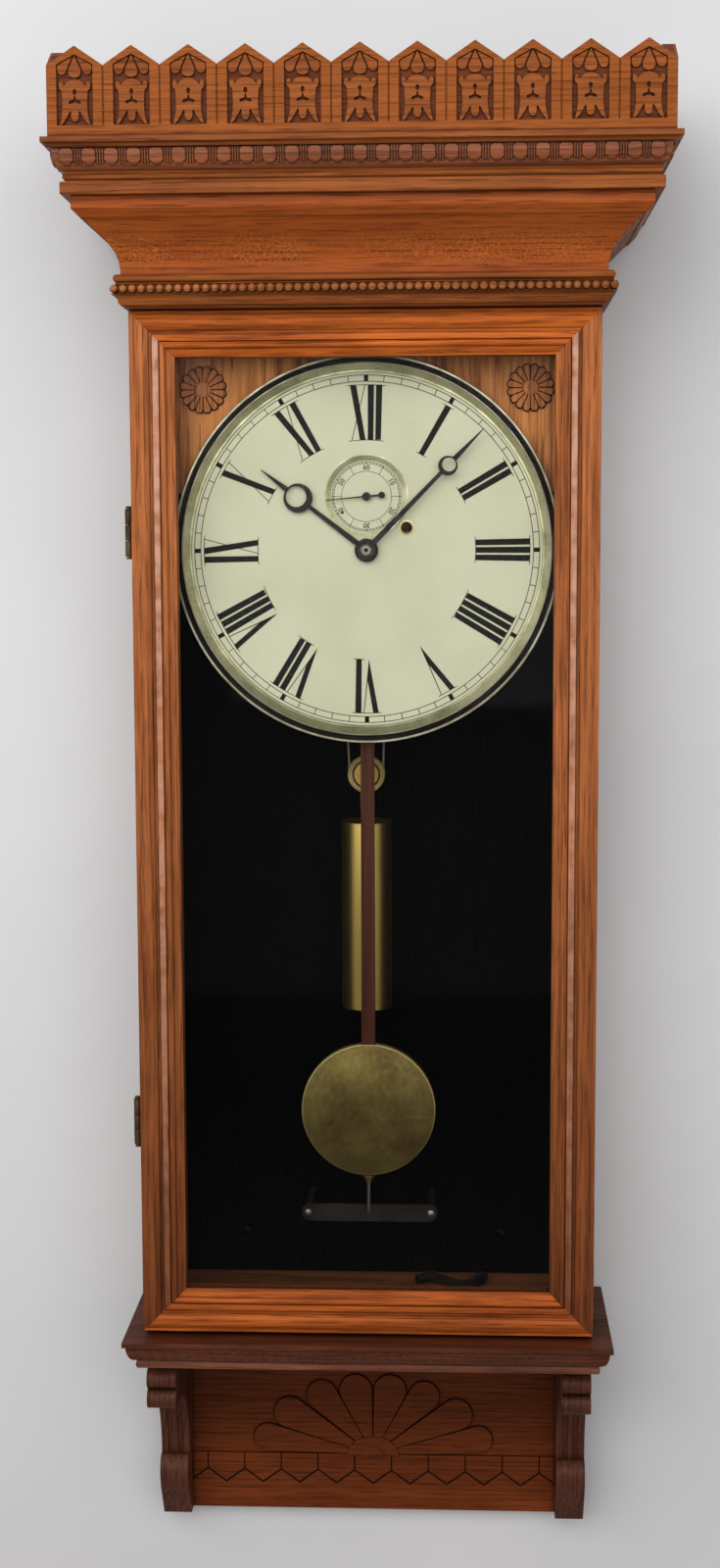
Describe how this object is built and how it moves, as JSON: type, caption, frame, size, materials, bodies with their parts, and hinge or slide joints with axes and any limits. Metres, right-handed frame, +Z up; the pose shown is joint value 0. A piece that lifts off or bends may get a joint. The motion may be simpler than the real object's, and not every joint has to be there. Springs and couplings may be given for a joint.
{
  "type": "wall regulator clock",
  "caption": "Weight-driven regulator clock in a carved oak wall case with a glazed door, a fenced crown, a round cream dial with a seconds dial, and a pendulum that beats over a scale.",
  "frame": {"origin": "centre of the hanging hole, on the wall", "axes": "+X to the right as seen from the front, +Y into the wall, +Z up"},
  "size_m": [0.5178, 0.2096, 1.3171],
  "materials": {
    "oak": "waxed golden oak with open grain",
    "black_oak": "stained black inside, dull",
    "rod_wood": "polished mahogany",
    "glass": "clear pane",
    "brass": "satin, slightly tarnished",
    "steel": "dull",
    "silvered": "worn silvering",
    "cream": "aged ivory paint, satin",
    "blackened": "black, satin",
    "cord": "twisted gut line"
  },
  "bodies": {
    "case": {"back_board": "black_oak", "side_left": "oak", "side_right": "oak", "case_top": "oak", "case_floor": "oak", "dial_board": "oak", "corner_rosettes": "oak", "crown_core": "oak", "crown_boards": "oak", "crest_fence": "oak", "egg_moulding": "oak", "cove_moulding": "oak", "bead_moulding": "oak", "base_shelf": "oak", "shelf_underboard": "oak", "bracket_left": "oak", "bracket_right": "oak", "apron_panel": "oak", "hanger_plate": "steel", "hinge_case_leaves": "brass", "door_catch": "brass", "dial_plate": "cream", "dial_bevel": "silvered", "dial_hoop": "blackened", "seconds_dial": "cream", "seconds_ring": "silvered", "winding_grommet": "brass", "movement_seat": "steel", "back_plate": "brass", "front_plate": "brass", "suspension_cock": "brass", "weight_cord": "cord", "beat_scale": "blackened"},
    "door": {"door_stile_left": "oak", "door_stile_right": "oak", "door_rail_top": "oak", "door_rail_bottom": "oak", "door_glass": "glass", "glass_beads": "oak", "hinge_door_leaves": "brass", "catch_stud": "brass"},
    "minute_arbor": {"centre_wheel": "brass", "minute_hand": "blackened", "hand_nut": "silvered"},
    "hour_pipe": {"hour_hand": "blackened"},
    "motion_work": {"motion_wheel": "brass"},
    "third_arbor": {"third_wheel": "brass"},
    "escape_arbor": {"escape_wheel": "brass", "second_hand": "blackened"},
    "second_arbor": {"second_wheel": "brass"},
    "great_wheel": {"great_wheel": "brass"},
    "drum": {"winding_drum": "brass"},
    "anchor": {"pallet_anchor": "steel"},
    "pendulum": {"pendulum_leader": "brass", "pendulum_rod": "rod_wood"},
    "bob": {"pendulum_bob": "brass"},
    "rating_nut": {"rating_nut": "brass"},
    "weight": {"drive_weight": "brass"},
    "pulley": {"weight_pulley": "brass"},
    "key": {"winding_key": "blackened"}
  },
  "joints": [
    {"name": "door_hinge", "type": "hinge", "parent": "case", "child": "door", "pos_m": [-0.205, -0.1193, -0.516], "axis": [0, 0, -1], "range_deg": [0, 165]},
    {"name": "minute_turn", "type": "hinge", "parent": "case", "child": "minute_arbor", "pos_m": [0, -0.06, -0.27], "axis": [0, 1, 0], "continuous": true},
    {"name": "hour_turn", "type": "hinge", "parent": "case", "child": "hour_pipe", "pos_m": [0, -0.06, -0.27], "axis": [0, 1, 0], "continuous": true},
    {"name": "motion_turn", "type": "hinge", "parent": "case", "child": "motion_work", "pos_m": [-0.01579, -0.06, -0.27575], "axis": [0, 1, 0], "continuous": true},
    {"name": "third_turn", "type": "hinge", "parent": "case", "child": "third_arbor", "pos_m": [-0.00787, -0.06, -0.24606], "axis": [0, 1, 0], "continuous": true},
    {"name": "escape_turn", "type": "hinge", "parent": "case", "child": "escape_arbor", "pos_m": [0, -0.06, -0.2236], "axis": [0, 1, 0], "continuous": true},
    {"name": "second_turn", "type": "hinge", "parent": "case", "child": "second_arbor", "pos_m": [0.02491, -0.06, -0.27829], "axis": [0, 1, 0], "continuous": true},
    {"name": "great_turn", "type": "hinge", "parent": "case", "child": "great_wheel", "pos_m": [0.0348, -0.06, -0.2506], "axis": [0, 1, 0], "continuous": true},
    {"name": "weight_slide", "type": "slide", "parent": "case", "child": "weight", "axis": [0, 0, 1], "range_m": [-0.235, 0.09], "deforming": ["weight_cord"]},
    {"name": "drum_turn", "type": "hinge", "parent": "case", "child": "drum", "pos_m": [0.0348, -0.051, -0.2506], "axis": [0, 1, 0], "range_deg": [-1690, 650]},
    {"name": "pulley_turn", "type": "hinge", "parent": "weight", "child": "pulley", "pos_m": [-0.003, -0.051, -0.471], "axis": [0, 1, 0], "range_deg": [-350, 905]},
    {"name": "pendulum_swing", "type": "hinge", "parent": "case", "child": "pendulum", "pos_m": [0, -0.094, -0.2], "axis": [0, 1, 0], "range_deg": [-4, 4]},
    {"name": "anchor_rock", "type": "hinge", "parent": "case", "child": "anchor", "pos_m": [0, -0.06, -0.2], "axis": [0, 1, 0], "range_deg": [-5, 5]},
    {"name": "bob_slide", "type": "slide", "parent": "pendulum", "child": "bob", "axis": [0, 0, 1], "range_m": [-0.003, 0.003]},
    {"name": "rating_turn", "type": "hinge", "parent": "bob", "child": "rating_nut", "pos_m": [0, -0.094, -0.835], "axis": [0, 0, 1], "range_deg": [-1085, 1085]},
    {"name": "key_lift", "type": "slide", "parent": "case", "child": "key", "axis": [0, 0, 1], "range_m": [0, 0.05]}
  ],
  "couplings": [
    {"joint": "hour_turn", "follows": "minute_turn", "ratio": 0.083333},
    {"joint": "motion_turn", "follows": "minute_turn", "ratio": -0.33333},
    {"joint": "third_turn", "follows": "minute_turn", "ratio": -8},
    {"joint": "escape_turn", "follows": "minute_turn", "ratio": 60},
    {"joint": "second_turn", "follows": "minute_turn", "ratio": -0.16667},
    {"joint": "great_turn", "follows": "minute_turn", "ratio": 0.027778},
    {"joint": "drum_turn", "follows": "weight_slide", "rad_per_m": 125},
    {"joint": "pulley_turn", "follows": "weight_slide", "rad_per_m": -66.667},
    {"joint": "anchor_rock", "follows": "pendulum_swing", "ratio": 1},
    {"joint": "rating_turn", "follows": "bob_slide", "rad_per_m": 6283.2}
  ]
}
